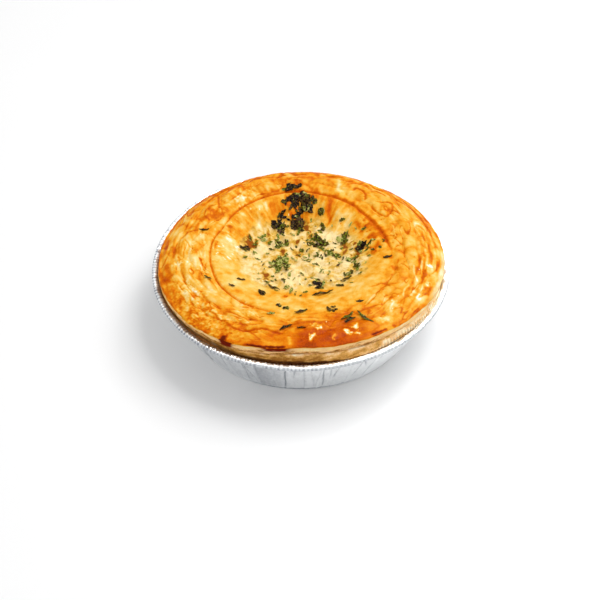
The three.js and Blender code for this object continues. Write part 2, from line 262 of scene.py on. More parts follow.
# Creases pressed and baked into the lid: width, depth, how much darker, then [(degrees, radius)].
# Negative depth and darkness make a raised, paler stroke; the last six are painted highlights,
# glints of the glaze.
CREASES = [
    (0.4, 0.2, 0.22, [(184, 47.5), (195, 46.3), (204, 46.4), (211, 46), (218, 46.7)]),
    (0.45, 0.5, 0.32, [(230, 53.8), (235, 52.7), (241, 52.6), (246, 51.2), (253, 50.2)]),
    (0.5, 0.5, 0.36, [(233, 58), (239, 59.7), (245, 58.7), (252, 55.7), (258, 56.1), (264, 56.5)]),
    (0.45, 0.4, 0.32, [(237, 54.2), (242, 55.7), (247, 54.1), (251, 52)]),
    (0.45, 0.4, 0.27, [(211, 53.3), (217, 54.2), (223, 54.3), (229, 53.3)]),
    (0.45, 0.3, 0.22, [(262, 50.5), (272, 49.5), (283, 49.8), (292, 50.4)]),
    (0.5, 0.5, 0.34, [(60, 50), (57, 52.3), (53, 51.7), (49, 48.6), (49, 46.7)]),
    (0.5, 0.4, 0.32, [*FLAP, FLAP[0]]),
    (0.45, 0.3, 0.22, [(37, 50.6), (35, 49.5), (33, 49.9), (34, 52)]),
    (0.45, 0.4, 0.3, [(78, 57.4), (70, 56.6), (65, 60.4), (60, 62)]),
    (0.45, 0.4, 0.3, [(53, 64.2), (46, 62.2), (37, 59.8), (31, 61.6), (25, 63.1)]),
    (0.45, 0.4, 0.3, [(65, 50.2), (59, 56.1), (52, 56), (45, 56.3), (41, 56.2)]),
    (0.45, 0.4, 0.32, [(147, 57.1), (136, 57.8), (128, 57.6), (119, 56.5), (109, 56), (98, 54.8)]),
    (0.45, 0.3, 0.35, [(134, 57.1), (139, 52), (143, 48.4)]),
    (0.8, 0.3, 0.24, [(69, 40.5), (67, 36.2), (64, 32.8), (61, 29.5)]),
    (0.45, 0.4, 0.28, [(163, 49.3), (166, 53), (169, 55.7), (172, 56.4)]),
    (0.4, 0.4, 0.32, [(172, 55.1), (176, 52.2), (180, 50.1)]),
    (0.45, 0.3, 0.28, [(183, 57), (186, 56.5), (190, 56.8)]),
    (0.45, 0.3, 0.26, [(185, 47.8), (189, 46.7), (195, 45.6)]),
    (0.6, 0.3, 0.32, [(175, 60.5), (178, 61.1), (182, 61.9)]),
    (0.45, 0.3, 0.3, [(188, 65.9), (185, 63.7), (181, 61.9)]),
    (0.45, 0.3, 0.26, [(197, 56.5), (204, 57)]),
    (0.4, 0.3, 0.24, [(192, 52.1), (199, 52.3)]),
    (0.45, 0.3, 0.24, [(321, 39.2), (324, 41.3), (328, 43.2), (329, 45.8), (326, 49.5)]),
    (0.45, 0.3, 0.24, [(299, 50), (304, 49.8), (310, 50.6), (314, 52.3), (319, 52.6), (323, 52.2)]),
    (0.45, 0.3, 0.24, [(348, 47.3), (345, 50.5), (343, 52.5)]),
    (0.5, 0.3, 0.22, [(358, 54.7), (350, 55.9), (343, 55.8), (335, 55.9), (328, 56.9)]),
    (0.5, 0.3, 0.22, [(357, 58.2), (352, 57.9), (344, 58.6), (333, 61.1)]),
    (0.5, 0.3, 0.22, [(18, 60.3), (6, 58.4), (359, 58)]),
    (0.5, 0.3, 0.22, [(357, 65.2), (350, 64), (344, 62.6)]),
    (0.5, 0.3, 0.22, [(338, 63.8), (332, 65)]),
    (0.5, 0.2, 1.1, [(247, 66), (252, 65.6), (257, 65.1), (262, 64.7), (264, 64.5)]),
    (0.5, 0.2, 0.8, [(298, 64.2), (301, 64.4), (304, 64.6), (306, 65)]),
    (0.6, 0.3, 0.27, [(98, 61.5), (108, 61.8), (118, 62.3), (130, 62.8), (142, 63), (154, 63.4)]),
    (0.6, 0.3, 0.27, [(52, 63), (38, 63), (26, 62.5), (14, 63), (6, 63)]),
    (1.2, -0.3, -0.3, [(71, 57.9), (68, 51.8), (67, 48.2), (65, 45.2)]),
    (1.4, -0.2, -0.3, [(134, 40.5), (139, 37), (146, 33.5)]),
    (0.5, 0.3, 0.3, [(168, 39.6), (172, 40.2), (178, 40.2)]),
    (1.3, -0.2, -0.3, [(119, 40), (125, 34), (133, 28.5)]),
    (1, -0.1, -0.3, [(113, 41), (118, 35)]),
    (1.6, -0.1, -0.2, [(61, 37), (53, 31), (48, 29)]),
    (1.4, -0.1, -0.18, [(52, 38), (45, 33.5), (41, 30)]),
    (0.7, -0.2, -0.2, [(264.5, 57.5), (265, 61), (266, 63.5)]),
    # Painted highlights: thin glints of the glaze on the right of the band and at the front.
    (0.4, -0.1, -0.34, [(352, 56.8), (346, 57.2), (341, 58.8)]),
    (0.4, -0.1, -0.34, [(347, 53.4), (341, 55), (336, 58.4)]),
    (0.4, -0.1, -0.34, [(337, 60.4), (331, 61.8), (327, 61)]),
    (0.4, -0.1, -0.3, [(333, 55.5), (328, 55), (324, 57)]),
    (0.5, -0.1, -0.3, [(320, 55), (315, 56.5), (313, 59)]),
    (0.4, -0.1, -0.4, [(285, 58.5), (283, 60.5), (284, 62)]),
]

# The deepest creases in the tin's wall: degrees, the degrees that each leans over half its height,
# depth, and how far down it runs.
DEEP_CREASES = [
    (248, -2, 0.7, 0.9),
    (259, 0.5, 0.5, 0.5),
    (263, 1, 1.1, 0.9),
    (271, 0, 0.35, 0.9),
    (279, -0.5, 0.8, 0.8),
    (281.5, 0, 0.6, 0.3),
    (298, -4, 1.1, 0.1),
]

# The ring stamped into the lid: degrees, its radius, how dark it is, half its width.
RING = [
    (0, 42.4, 0.12, 0.7),
    (6, 41.6, 0.35, 0.9),
    (12, 40.9, 0.45, 1.0),
    (30, 40.1, 0.45, 1.0),
    (43, 40.6, 0.36, 0.9),
    (52, 41.8, 0.34, 0.8),
    (70, 42.5, 0.38, 0.75),
    (90, 43.6, 0.34, 0.7),
    (110, 43.4, 0.32, 0.6),
    (128, 42.7, 0.32, 0.55),
    (155, 40.9, 0.4, 0.42),
    (170, 42.1, 0.4, 0.42),
    (192, 42.4, 0.44, 0.42),
    (212, 43.3, 0.44, 0.42),
    (231, 43.4, 0.4, 0.42),
    (246, 42.7, 0.22, 0.5),
    (265, 42.6, 0.1, 0.5),
    (330, 42.5, 0.0, 0.5),
    (360, 42.4, 0.12, 0.7),
]

# Reach of the pale middle of the lid: degrees, radius.
PALE = [
    (0, 34),
    (45, 29),
    (90, 29),
    (135, 32.5),
    (180, 31),
    (215, 27),
    (240, 22),
    (270, 18),
    (300, 20),
    (330, 28),
    (345, 33),
    (360, 34),
]

# Herb flakes in tufts: x, y, how far they spread, how many, length, freshness from 0 to 1.
# TUFT_FILL makes every tuft fuller than its entry.
TUFT_FILL = 1.4
TUFTS = [
    (-6, 46, 2, 4, 4.5, 0.05),
    (-2, 45, 3, 5, 4.5, 0.1),
    (0, 39, 4.5, 16, 4.5, 0.12),
    (4, 36, 4, 10, 4.5, 0.25),
    (-4, 37, 3.5, 9, 4, 0.05),
    (10, 31, 1.4, 3, 3.6, 0.45),
    (0, 32, 3, 5, 4, 0.15),
    (-8, 29, 3, 6, 4, 0.1),
    (-11, 24, 3, 9, 4, 0.25),
    (-1, 26, 3, 9, 4.5, 0.2),
    (-10, 15, 4, 11, 4, 0.5),
    (-18, 17, 2, 3, 3.5, 0.45),
    (-26, 9, 2, 3, 3, 0.3),
    (9, 15, 4, 12, 4, 0.25),
    (21, 15, 2.5, 6, 4, 0.45),
    (10, 23, 2, 3, 3.5, 0.5),
    (-9, 0, 4.5, 15, 4, 0.55),
    (15, 7, 2.5, 5, 3.5, 0.5),
    (10, 5, 2, 3, 3, 0.55),
    (24, 1, 2, 4, 3, 0.45),
    (26, -4, 2, 4, 3, 0.45),
    (22, -8, 2, 3, 3, 0.35),
    (29, 8, 2, 6, 4, 0.05),
    (9, -15, 2.5, 5, 4, 0.15),
    (14, -40, 2, 3, 3, 0.05),
    (-10.5, -36, 1.2, 3, 3, 0.1),
    (-7.5, -38, 1.2, 3, 3, 0.1),
    (-18, -23.5, 1.8, 5, 3.6, 0.1),
    (35, 6, 5, 7, 2, 0.3),
]

# The green chips are scattered round a place, up to this far from it.
CHIPS_AT = (4, 4)
CHIPS_REACH = 27

# Single leaves: x, y, degrees, length, freshness.
LEAVES = [
    (-27.5, -15.5, 20, 4, 0.1),
    (-31.5, -23, -20, 3, 0.1),
    (-4.5, -18.5, 80, 5, 0.7),
    (-12.5, -17.5, -20, 5.5, 0.3),
    (-13.5, -42, 0, 3.5, 0.75),
    (0, -41, 20, 6, 0.1),
    (10, -22.5, 8, 9, 0.15),
    (20.5, -46.5, 35, 6.5, 0.4),
    (21.5, -48, 30, 5.5, 0.2),
    (28, -47, -38, 8.5, 0.35),
    (26.5, -34.5, 10, 3.5, 0.1),
    (21, -13, 5, 5, 0.15),
    (18, -17, -25, 4, 0.15),
    (-7, -52, 30, 6, 0.1),
    (0, -52.5, 15, 4, 0.1),
    (40.5, -5, 10, 4, 0.1),
    (-45.5, 14.5, 0, 4.5, 0.1),
    (-42.5, -19.5, -20, 3.5, 0.2),
    (-20, 3.5, 20, 3, 0.5),
]


def linear(red, green, blue):
    """A display colour, from 0 to 255, as Blender's scene-linear colour."""
    shares = (red / 255, green / 255, blue / 255)
    return tuple(c / 12.92 if c <= 0.04045 else ((c + 0.055) / 1.055) ** 2.4 for c in shares)


# Maths over arrays.


def smooth(low, high, value):
    """0 below low and 1 above high, eased in between."""
    t = np.clip((value - low) / (high - low), 0, 1)
    return t * t * (3 - 2 * t)


def mix(low, high, share):
    return low + (high - low) * share


def hump(value, centre, width):
    """1 at the centre and 0 at half a width from it."""
    t = np.minimum(1, np.abs(value - centre) / (width / 2))
    return np.cos(t * math.pi / 2) ** 2


def around(angle, centre, spread):
    """1 at a centre angle, falling to 0 half a spread away, all in degrees but the angle."""
    turn = angle - math.radians(centre)
    return hump(np.arctan2(np.sin(turn), np.cos(turn)), 0, math.radians(spread))


def eased(table, angle, column):
    """One column of a table of degrees at every angle, eased from one entry to the next."""
    rows = np.array(table)
    degrees = np.degrees(angle) % 360
    entry = np.clip(np.searchsorted(rows[:, 0], degrees, side="right"), 1, len(rows) - 1)
    start, end = rows[entry - 1], rows[entry]
    t = (degrees - start[:, 0]) / (end[:, 0] - start[:, 0])
    return mix(start[:, column], end[:, column], t * t * (3 - 2 * t))


def rough(points, size, seed, octaves=1):
    """Noise from about -1 to 1 whose lumps are about size across."""
    spots = (points / size + 7.31 * seed).tolist()
    if octaves == 1:
        return np.array([noise.noise(spot) for spot in spots])
    return np.array([noise.fractal(spot, 1.0, 2.0, octaves) for spot in spots])


def columns(*values):
    """Several arrays as the columns of one."""
    return np.stack(values, axis=1)


def drum(radius, angle, along, across):
    """Points for noise stretched round the pie: the size of its lumps along the edge and across."""
    reach = 55 / along
    return columns(reach * np.cos(angle), reach * np.sin(angle), radius / across)


def cells(points, seed):
    """How near a point is to the border between two random cells, 0 on it."""
    spots = (points + 3.7 * seed).tolist()
    near = np.array([noise.voronoi(spot)[0][:2] for spot in spots])
    return near[:, 1] - near[:, 0]


def curve_through(points):
    """Points on a smooth curve through the given ones."""
    ends = [2 * points[0] - points[1], *points, 2 * points[-1] - points[-2]]
    line = []
    for a, b, c, d in zip(ends, ends[1:], ends[2:], ends[3:]):
        for k in range(CURVE_STEPS):
            t = k / CURVE_STEPS
            square = (2 * a - 5 * b + 4 * c - d) * t * t
            cube = (3 * b - a - 3 * c + d) * t**3
            line.append(0.5 * (2 * b + (c - a) * t + square + cube))
    line.append(points[-1])
    return line


def distance_to(line, x, y):
    """Distance of every x, y to a line, and the share of the line's length at the nearest point."""
    best = np.full(len(x), 1e9)
    share = np.zeros(len(x))
    count = len(line) - 1
    for k, (start, end) in enumerate(zip(line, line[1:])):
        reach = end - start
        t = np.clip(((x - start[0]) * reach[0] + (y - start[1]) * reach[1]) / (reach @ reach), 0, 1)
        apart = np.hypot(x - start[0] - t * reach[0], y - start[1] - t * reach[1])
        nearer = apart < best
        best = np.where(nearer, apart, best)
        share = np.where(nearer, (k + t) / count, share)
    return best, share


# The lid's form.


def lid_edge(angle):
    return eased(EDGE, angle, 1)


def edge_height(angle):
    return eased(EDGE, angle, 2)


def seam_height(angle):
    return eased(EDGE, angle, 3)


def lid_form(radius, angle):
    """The lid's top without its relief: sunken middle, level ring, shoulder down to the edge."""
    sides = smooth(FLOOR_RADIUS - 8, RING_RADIUS, radius)
    steep = smooth(FLOOR_RADIUS, RING_RADIUS, radius)
    rise = mix(sides, steep, 0.35 + 0.4 * around(angle, BACK, 180))
    bowl = mix(FLOOR_HEIGHT, RING_HEIGHT, rise)
    swell = (PLATEAU_HEIGHT - RING_HEIGHT) * smooth(RING_RADIUS, SHOULDER_START, radius)
    fall = np.maximum(0, (radius - SHOULDER_START) / (lid_edge(angle) - SHOULDER_START))
    return bowl + swell - (PLATEAU_HEIGHT - edge_height(angle)) * fall**2


def puffs(radius, angle):
    """Puffed cells between ring and shoulder: their height, and how near their creases are."""
    across = (radius - BAND_INNER) / (BAND_OUTER - BAND_INNER) * 3
    row = across + 0.3 * np.sin(5 * angle + 1) + 0.15 * np.sin(11 * angle + 2)
    index = np.clip(np.floor(row), 0, 3)
    slant = np.where(index % 2 == 1, 1, -1) * 0.35 * (row - index)
    count = np.array(BAND_CELLS)[index.astype(int)]
    along = count * angle / TURN + 0.2 * index + slant + 0.25 * np.sin(3 * angle)
    pillow = np.sqrt(np.abs(np.sin(math.pi * row) * np.sin(math.pi * along)))
    window = smooth(BAND_INNER - 1, BAND_INNER + 2, radius)
    window *= 1 - smooth(BAND_OUTER - 4, BAND_OUTER, radius)
    return PUFF_HEIGHT * (pillow - 0.55) * window, (1 - smooth(0.0, 0.55, pillow)) * window


def folds(radius, angle):
    """Folds that run down the back wall of the sunken middle."""
    reach = 0.9 * hump(radius, 34, 17) * around(angle, BACK, 270)
    return reach * np.sin(22 * angle + 1.5 * np.sin(5 * angle))


def lumps(x, y):
    """Soft lumps on the floor of the sunken middle."""
    reach = 1 - smooth(15, 27, np.hypot(x, y))
    return 0.8 * reach * (np.sin(x / 2.9 + 1) * np.sin(y / 2.5 + 2) + 0.5 * np.sin((x + y) / 1.9))


def seam(radius, angle):
    """The surface on which the lid lies."""
    return mix(lid_form(radius, angle) - LID_THICKNESS, seam_height(angle), smooth(50, 58, radius))


def baked_level(radius, angle):
    """How far the crust is baked, from the table, spots left out."""
    levels = columns(*(eased(BAKE, angle, k + 1) for k in range(len(BAKE_RADII))))
    place = np.interp(radius, BAKE_RADII, np.arange(len(BAKE_RADII)))
    low = np.clip(np.floor(place), 0, len(BAKE_RADII) - 2).astype(int)
    rows = np.arange(len(radius))
    return mix(levels[rows, low], levels[rows, low + 1], place - low)


def marked(radius, angle, marks, stretch=1.0):
    """What soft marks, in degrees, radius, spread and amount, add up to at each place."""
    x, y = radius * np.cos(angle), radius * np.sin(angle)
    ragged = 1 + 0.9 * rough(columns(x, y, 0 * x), 1.3, 41, 2)
    total = np.zeros(len(radius))
    for degrees, mark_radius, spread, amount in marks:
        turn = math.radians(degrees)
        off_x, off_y = x - mark_radius * math.cos(turn), y - mark_radius * math.sin(turn)
        apart = np.hypot(off_x, off_y / stretch)
        total += amount * np.exp(-((ragged * apart / spread) ** 2))
    return total


def front_glaze(radius, angle):
    """1 on the two smooth pads at the front, where the glaze ran together."""
    return around(angle, 275, 84) * smooth(54, 57.5, radius)


def band_strokes(radius, angle, flat, band, calm):
    """Strokes, pads and rays over the band: how high they stand, and how much darker they are."""
    warp = drum(radius, angle, 14, 10)
    bend, twist = (rough(warp, 1, seed, 2) for seed in (1, 2))

    # Puffed pads, and soft strokes that run round the pie, each with a paler lip.
    stroke = rough(drum(radius + 3 * bend, angle + 0.06 * twist, 13, 4.2), 1, 3, 2)
    pads = cells(drum(radius + 2.5 * twist, angle + 0.06 * bend, 8.5, 5), 4)
    patchy = smooth(-0.2, 0.35, rough(flat, 10, 5))
    other = 1 - smooth(-0.35, 0.2, rough(flat, 8, 15))
    line = np.exp(-((stroke / 0.045) ** 2)) * patchy
    lip = smooth(0.05, 0.14, stroke) * (1 - smooth(0.14, 0.42, stroke)) * patchy
    seam_line = (1 - smooth(0.0, 0.14, pads)) * other
    raised = 0.16 * lip - 0.24 * line - 0.16 * seam_line
    darker = 0.3 * line - 0.16 * lip + 0.12 * seam_line - 0.14 * smooth(0.1, 0.6, pads)

    # Rays at the back, and streaks along the edge at the right and all over the left. At the right
    # edge the paler streaks are painted sheen of the glaze.
    rays = rough(drum(radius + 2 * twist, angle + 0.04 * bend, 2.6, 9), 1, 17, 2)
    rays *= around(angle, 105, 190) * (1 - smooth(58, 63, radius))
    streaks = rough(drum(radius + 1.6 * bend, angle + 0.03 * twist, 9, 1.8), 1, 43, 2)
    at_edge = around(angle, 352, 80) * smooth(54, 57, radius)
    streaks *= at_edge + 0.8 * around(angle, 180, 120) * band
    return band * calm * raised, band * calm * darker - 0.25 * band * rays + 0.42 * streaks


def hand_creases(x, y, flat):
    """What the listed creases add up to: how deep they are, and how much darker."""
    ragged = 1 + 0.7 * rough(flat, 1.6, 42, 2)
    deep, darker = np.zeros(len(x)), np.zeros(len(x))
    for width, depth, amount, places in CREASES:
        turns = [math.radians(degrees) for degrees, _ in places]
        points = [np.array((r * math.cos(t), r * math.sin(t))) for t, (_, r) in zip(turns, places)]
        apart, share = distance_to(curve_through(points), x, y)
        mark = np.exp(-((ragged * apart / width) ** 2)) * smooth(0, 0.15, share)
        mark *= 1 - smooth(0.85, 1, share)
        deep += depth * mark
        darker += amount * mark
    return deep, darker


def crust(radius, angle, relief=1.0):
    """The lid's top with all its relief: height in mm, how far it is baked and how pale it is."""
    x, y = radius * np.cos(angle), radius * np.sin(angle)
    flat = columns(x, y, 0 * x)
    blisters, grain = rough(flat, 2.6, 6), rough(flat, 0.9, 7, 2)
    band = smooth(RING_RADIUS + 0.5, RING_RADIUS + 3, radius)
    calm = 1 - 0.85 * front_glaze(radius, angle)
    rim_rough = around(angle, 224, 76) * smooth(52, 57, radius)
    puff, cell_line = puffs(radius, angle)
    raised, stroke_dark = band_strokes(radius, angle, flat, band, calm)
    deep, crease_dark = hand_creases(x, y, flat)

    # The ring, stamped while the pastry was raw.
    ring_radius, ring_dark, ring_width = (eased(RING, angle, column) for column in (1, 2, 3))
    ring_share = np.exp(-(((radius - ring_radius) / ring_width) ** 2))
    ring_deep = 0.9 * hump(radius, ring_radius, 2.2) * smooth(0.05, 0.3, ring_dark)

    # The sunken middle: streaky walls and a ragged, flaky floor.
    pale_edge = eased(PALE, angle, 1) + 3.2 * rough(flat, 7, 8, 2) + 1.6 * rough(flat, 2.6, 13, 2)
    pale = 1 - smooth(-4.5, 2.5, radius - pale_edge)
    wall = (1 - band) * (1 - pale)
    streaks = rough(drum(radius, angle, 2.4, 14), 1, 9, 2) * (0.15 + 0.85 * around(angle, 95, 250))
    flakes = rough(flat, 3.4, 10, 2)

    height = lid_form(radius, angle) + puff + folds(radius, angle) + lumps(x, y) - ring_deep
    texture = raised - deep + band * calm * (0.24 * blisters * (1 + rim_rough) + 0.12 * grain)
    texture += wall * (0.3 * streaks + 0.06 * grain)
    texture += pale * (1.1 * flakes + 0.5 * blisters + 0.12 * grain)
    height += relief * texture

    # How far each place is baked.
    baked = baked_level(radius, angle) + 0.11 * rough(flat, 9, 11, 2) + stroke_dark
    baked += band * calm * (0.1 * rough(flat, 4.2, 12, 2) + 0.1 * cell_line + 0.07)
    baked += rim_rough * (0.28 * rough(flat, 2.4, 23, 2) + 0.3 * rough(flat, 1.1, 24, 2))
    baked += 0.08 * calm * smooth(-2.6, -0.6, radius - lid_edge(angle))
    baked += wall * (0.2 * streaks + 0.14 * flakes + 0.16 * rough(flat, 6, 19, 2))
    baked += ring_dark * ring_share
    baked = mix(baked, 0.3, pale)

    # Marks listed one by one.
    # Some marks are painted light: glints of the glaze among the spots and creases, shade in the
    # hollows and highlights on the lumps among the dabs.
    baked += marked(radius, angle, DABS, 1.9) * smooth(0.2, 0.8, pale)
    baked += marked(radius, angle, SPOTS) * (1 + 0.3 * blisters + 1.6 * wall * flakes)
    baked += crease_dark

    # Past a limit, more baking darkens the crust less.
    limit = 0.76 + 0.14 * front_glaze(radius, angle)
    baked = np.minimum(baked, limit + 0.3 * (baked - limit))
    return height, np.clip(baked, -0.2, 1), pale


# Meshes.


def grid_mesh(name, across, along, size=1):
    """A flat grid that reaches size each way from its middle."""
    bm = bmesh.new()
    bmesh.ops.create_grid(bm, x_segments=across, y_segments=along, size=size)
    mesh = bpy.data.meshes.new(name)
    bm.to_mesh(mesh)
    bm.free()
    return mesh


def turned(name, rows, segments, place, shares):
    """A closed turned mesh. place gives radius, height and shares for every row and angle."""
    mesh = grid_mesh(name, segments, rows - 1)
    flat = read_places(mesh)
    angle = np.rint((flat[:, 0] + 1) / 2 * segments) % segments * (TURN / segments)
    row = np.rint((flat[:, 1] + 1) / 2 * (rows - 1)).astype(int)
    radius, height, *values = place(row, angle)
    places = columns(radius * np.cos(angle), radius * np.sin(angle), height) * MM
    mesh.vertices.foreach_set("co", places.ravel())
    for share, value in zip(shares, values):
        write_share(mesh, share, value)
    close(mesh)
    return piece(name, mesh)


def read_places(mesh):
    places = np.zeros(len(mesh.vertices) * 3)
    mesh.vertices.foreach_get("co", places)
    return places.reshape(-1, 3)


def write_share(mesh, name, values):
    attribute = mesh.attributes.get(name) or mesh.attributes.new(name, "FLOAT", "POINT")
    attribute.data.foreach_set("value", np.asarray(values, dtype=np.float32))


def close(mesh):
    """Merges the vertices at the poles and turns all faces outwards."""
    bm = bmesh.new()
    bm.from_mesh(mesh)
    bmesh.ops.remove_doubles(bm, verts=bm.verts, dist=1e-6)
    bmesh.ops.recalc_face_normals(bm, faces=bm.faces)
    bm.to_mesh(mesh)
    bm.free()
    mesh.shade_smooth()


def piece(name, mesh):
    made = bpy.data.objects.new(name, mesh)
    bpy.context.scene.collection.objects.link(made)
    return made


# Shaders.


class Value:
    """A socket in a shader. Sums on it add its Math nodes."""

    def __init__(self, shader, socket):
        self.shader = shader
        self.socket = socket

    def math(self, operation, first, second):
        return self.shader.add("ShaderNodeMath", {0: first, 1: second}, operation=operation)

    def __add__(self, other):
        return self.math("ADD", self, other)

    def __sub__(self, other):
        return self.math("SUBTRACT", self, other)

    def __rsub__(self, other):
        return self.math("SUBTRACT", other, self)

    def __mul__(self, other):
        return self.math("MULTIPLY", self, other)

    __radd__ = __add__
    __rmul__ = __mul__

    def clamped(self):
        return self.shader.add("ShaderNodeClamp", {"Value": self})

    def between(self, low, high):
        """0 below low and 1 above high, eased in between."""
        inputs = {"Value": self, "From Min": low, "From Max": high}
        return self.shader.add("ShaderNodeMapRange", inputs, interpolation_type="SMOOTHSTEP")


class Finish:
    """A material whose nodes are added one call at a time."""

    def __init__(self, name):
        self.material = bpy.data.materials.new(name)
        self.material.use_nodes = True
        self.tree = self.material.node_tree
        self.surface = self.tree.nodes["Principled BSDF"]
        self.place = self.add("ShaderNodeTexCoord", output="Object")

    def add(self, kind, inputs=None, output=0, **settings):
        """Adds a node: its settings first, then the values or links of its sockets."""
        node = self.tree.nodes.new(kind)
        for name, value in settings.items():
            setattr(node, name, value)
        self.fill(node, inputs or {})
        return Value(self, node.outputs[output])

    def fill(self, node, inputs):
        for name, value in inputs.items():
            if isinstance(value, Value):
                self.tree.links.new(value.socket, node.inputs[name])
            elif node.inputs[name].type == "RGBA":
                node.inputs[name].default_value = (*value, 1.0)
            else:
                node.inputs[name].default_value = value

    def share(self, name):
        """One of the shares that the mesh carries."""
        return self.add("ShaderNodeAttribute", output="Fac", attribute_name=name)

    def stretched(self, x, y, z):
        """Object coordinates in lumps per metre, one count for each axis."""
        inputs = {0: self.place, 1: (x, y, z)}
        return self.add("ShaderNodeVectorMath", inputs, operation="MULTIPLY")

    def noise(self, size, detail, place=None, roughness=0.5):
        """Noise from 0 to 1 whose lumps are about size millimetres across."""
        inputs = {"Vector": place or self.place, "Scale": 1000 / size}
        return self.add("ShaderNodeTexNoise", {**inputs, "Detail": detail, "Roughness": roughness})

    def ramp(self, level, *stops):
        """The colour for a level from 0 to 1, from stops of a position and a colour."""
        node = self.tree.nodes.new("ShaderNodeValToRGB")
        elements = node.color_ramp.elements
        while len(elements) < len(stops):
            elements.new(1.0)
        for element, (position, shade) in zip(elements, stops):
            element.position = position
            element.color = (*shade, 1.0)
        self.fill(node, {"Fac": level})
        return Value(self, node.outputs[0])

    def blend(self, share, first, second):
        """Mixes two colours."""
        return self.add("ShaderNodeMix", {0: share, 6: first, 7: second}, 2, data_type="RGBA")

    def bump(self, height, distance):
        return self.add("ShaderNodeBump", {"Height": height, "Distance": distance * MM})

    def finish(self, **inputs):
        """Sets the surface's sockets, named with underscores for spaces, and gives the material."""
        self.fill(self.surface, {name.replace("_", " "): value for name, value in inputs.items()})
        return self.material


# What a user would change.


def a_colour(name, description, *shares):
    return bpy.props.FloatVectorProperty(
        name=name,
        description=description,
        default=linear(*shares),
        subtype="COLOR",
        size=3,
        min=0,
        max=1,
    )


def a_length(name, description, default):
    return bpy.props.FloatProperty(
        name=name, description=description, default=default, subtype="DISTANCE", unit="LENGTH"
    )


def a_power(name, description, default):
    return bpy.props.FloatProperty(
        name=name, description=description, default=default, unit="POWER"
    )


def a_count(name, description, default):
    return bpy.props.IntProperty(name=name, description=description, default=default)


class PieSizes(bpy.types.PropertyGroup):
    rim_radius: a_length("Rim Radius", "Outside of the tin's rolled bead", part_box("foil_tin")[1].x)
    sheet: a_length("Foil", "Thickness of the tin's wall", 0.0007)
    ribs: a_count("Ribs", "Fine ribs pressed round the collar", 240)
    rib_depth: a_length("Rib Depth", "Depth of a rib", 0.00022)
    wall_folds: a_count("Folds", "Creases round the tin's wall", 66)
    relief: bpy.props.FloatProperty(
        name="Relief",
        description="How deep the crust's own relief is",
        default=1.0,
        subtype="FACTOR",
        max=2,
    )
    lid_segments: a_count("Lid Segments", "Faces round the lid", 720)
    chips: a_count("Green Chips", "Small chips of herb in the middle", 170)


class PieColours(bpy.types.PropertyGroup):
    # Painted highlight: the white of glints on the glaze, which the palest flakes share.
    glint_and_pale_flake: a_colour("Milk", "Flakes that catch the light", 255, 247, 228)
    cream: a_colour("Cream", "Pastry that took no colour", 252, 229, 172)
    straw: a_colour("Straw", "Lightly baked pastry", 246, 209, 126)
    gold: a_colour("Gold", "Golden crust", 243, 187, 78)
    amber: a_colour("Amber", "Well baked crust", 238, 160, 34)
    orange: a_colour("Orange", "Crust along the creases", 226, 122, 6)
    russet: a_colour("Russet", "Deep crust under the glaze", 194, 76, 0)
    scorched: a_colour("Scorched", "Where the sugar burnt", 104, 30, 4)
    middle: a_colour("Middle", "The sunken middle's flaky floor", 228, 184, 86)
    # Painted shade of the hollows in the flaky floor.
    hollow_shade: a_colour("Olive", "Hollows of the flaky floor", 214, 160, 52)
    crumb: a_colour("Crumb", "Pale cut edge of the lid", 252, 213, 140)
    tan: a_colour("Tan", "Baked edge of the case", 222, 166, 84)
    juice: a_colour("Juice", "Gravy that baked on to the tin", 184, 122, 56)
    foil: a_colour("Foil", "Bare foil", 252, 254, 255)


class PieLight(bpy.types.PropertyGroup):
    softbox: a_power("Softbox", "Power of the overhead softbox", 5.6)
    lamp: a_power("Lamp", "Power of each small lamp, which only shows as a reflection", 8)
    fill: bpy.props.FloatProperty(
        name="Fill", description="Brightness of the pale room", default=0.72
    )
    floor: a_colour("Floor", "The pale floor", 244, 244, 244)


# The pieces.


def wall_radius(height):
    """Radius of the tin's wall on the outside, its pleats and creases left out."""
    return mix(BASE_RADIUS, WALL_TOP_RADIUS, height / BEAD_HEIGHT)


def lifted(height, angle):
    """The height that a point of the tin, or of what fills it, has once the front is bent up."""
    return height + FRONT_LIFT * around(angle, FRONT, LIFT_SPREAD) * (height / BEAD_HEIGHT) ** 2


def over_rim(height, angle):
    """How far a place on the pastry's side lies over the lowest one that shows above the bead."""
    return height - lifted(TIN_HEIGHT, angle) + SEEN_BELOW_RIM


def burnt(height, angle):
    """How dark the pastry's side is just above the bead, baked brown and with painted shade from the
    gap: deep at the left, thin at the right.
    """
    reach = 0.7 + 1.8 * around(angle, 208, 110) + 1.0 * around(angle, 262, 80)
    ragged = 0.5 * rough(drum(height, angle, 4, 1.2), 1, 31, 2)
    deepest = mix(0.48, 1.0, around(angle, 275, 110))
    return deepest * (1 - smooth(reach - 0.4, reach + 0.5, over_rim(height, angle) + ragged))


def wall_creases(sizes, chance):
    """Creases round the wall: where, how far each leans, its depth and how far down it runs."""
    step = TURN / sizes.wall_folds
    places = [(k + chance.uniform(-0.36, 0.36)) * step for k in range(sizes.wall_folds)]
    creases = [
        (at, chance.uniform(-0.03, 0.03), chance.uniform(0.2, 1), chance.random()) for at in places
    ]
    deep = [(math.radians(at), math.radians(lean), *depth) for at, lean, *depth in DEEP_CREASES]
    return sorted(creases + deep)


